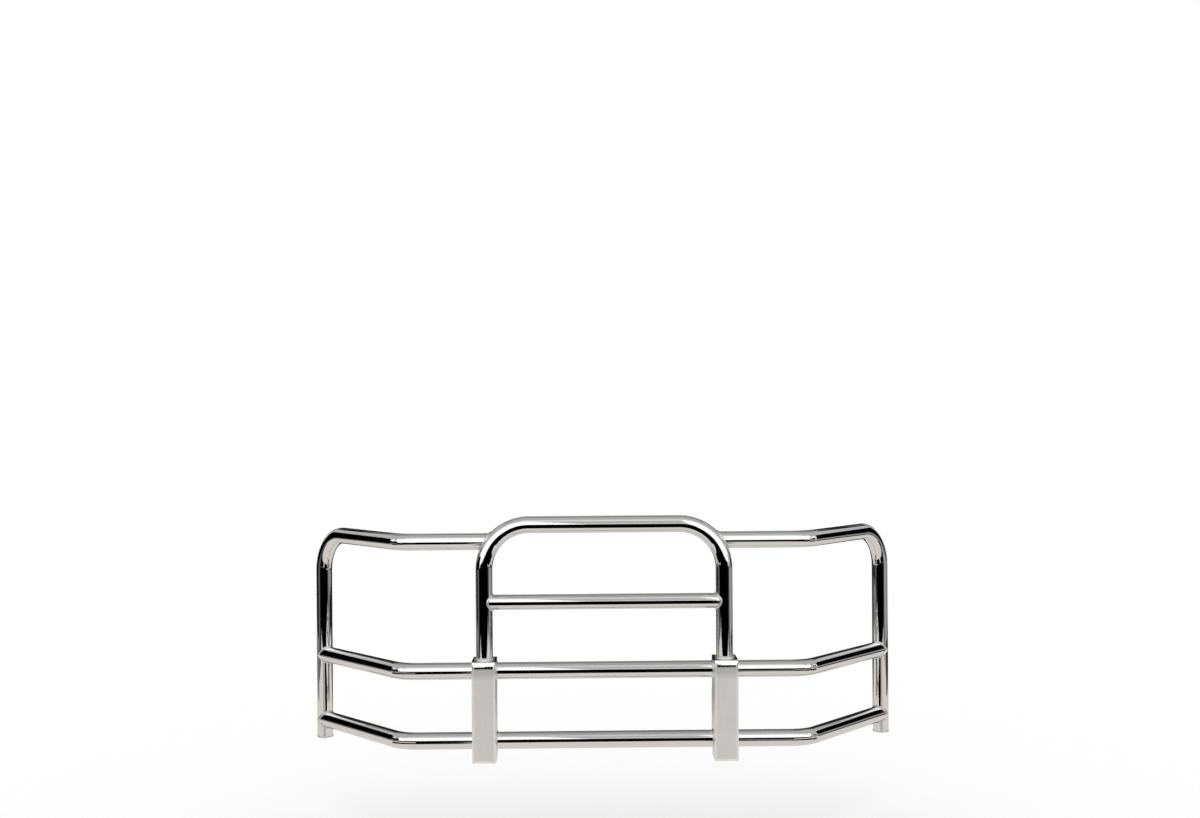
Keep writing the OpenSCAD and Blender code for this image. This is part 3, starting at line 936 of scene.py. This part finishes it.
def make_world():
    """White to the camera and on the floor. The polished steel sees a pale roof with soft bands,
    and concrete below, with dark patches towards the front."""
    # by the share of the turn over the roof, from the horizon ahead to the one behind
    roof_bands = [
        (0.00, 1.20), (0.27, 1.20), (0.31, 0.66), (0.36, 0.68), (0.41, 0.52), (0.45, 0.40),
        (0.49, 0.38), (0.54, 0.54), (0.58, 0.50), (0.63, 0.26), (0.70, 0.18), (0.77, 0.30),
        (0.84, 0.50), (0.90, 0.72), (1.00, 0.80),
    ]
    # by the direction from left to right
    strips = [
        (0.0, CONCRETE), (0.40, BLACK), (0.458, CONCRETE), (0.542, grey(0.13)), (0.60, CONCRETE),
    ]
    # patches: the middle of each and how far it reaches, or where it starts
    roof_behind = (0.74, 0.12)
    ground_ahead = (-0.086, 0.086)
    steep_rise = (-0.37, 0.13)
    aslant_aside = (0.57, 0.37)
    least_aside = 0.5
    least_forward = 0.03
    roof_aside = rgb(0.5, 0.5, 0.5)

    world = bpy.data.worlds.new("studio")
    scene.world = world
    graph = Graph(world)
    way = graph.place("Generated")
    across = graph.part("X", way)
    aside = graph.math("ABSOLUTE", across)
    forward = graph.math("MULTIPLY", graph.part("Y", way), -1.0)
    rise = graph.part("Z", way)
    over = graph.math("DIVIDE", graph.math("ARCTAN2", rise, forward), math.pi)

    roof = graph.ramp(over, [(place, grey(value)) for place, value in roof_bands])
    far_aside = graph.math("GREATER_THAN", aside, least_aside)
    behind = graph.math("COMPARE", over, *roof_behind)
    roof = graph.blend(graph.math("MULTIPLY", far_aside, behind), roof, roof_aside)

    strip = graph.ramp(graph.spread(across, -1.0, 1.0, 0.0, 1.0), strips, "CONSTANT")
    low_front = graph.math("COMPARE", over, *ground_ahead)
    ground = graph.blend(low_front, rgb(*CONCRETE), strip)
    steep = graph.math("COMPARE", rise, *steep_rise)
    aslant = graph.math("COMPARE", aside, *aslant_aside)
    ahead = graph.math("GREATER_THAN", forward, least_forward)
    beside = graph.math("MULTIPLY", graph.math("MULTIPLY", steep, aslant), ahead)
    ground = graph.blend(beside, ground, rgb(*BLACK))

    around = graph.blend(graph.math("GREATER_THAN", rise, 0.0), ground, roof)
    path = graph.add("ShaderNodeLightPath")
    shader = graph.add("ShaderNodeBackground")
    shader.inputs["Strength"].default_value = 1.0
    white = rgb(1.0, 1.0, 1.0)
    graph.feed(shader.inputs["Color"], graph.blend(path.outputs["Is Glossy Ray"], white, around))
    graph.surface(shader.outputs[0])


make_floor()
make_front_boards()
make_skirts()
make_side_and_back_boards()
make_world()

scene.view_settings.view_transform = "Standard"
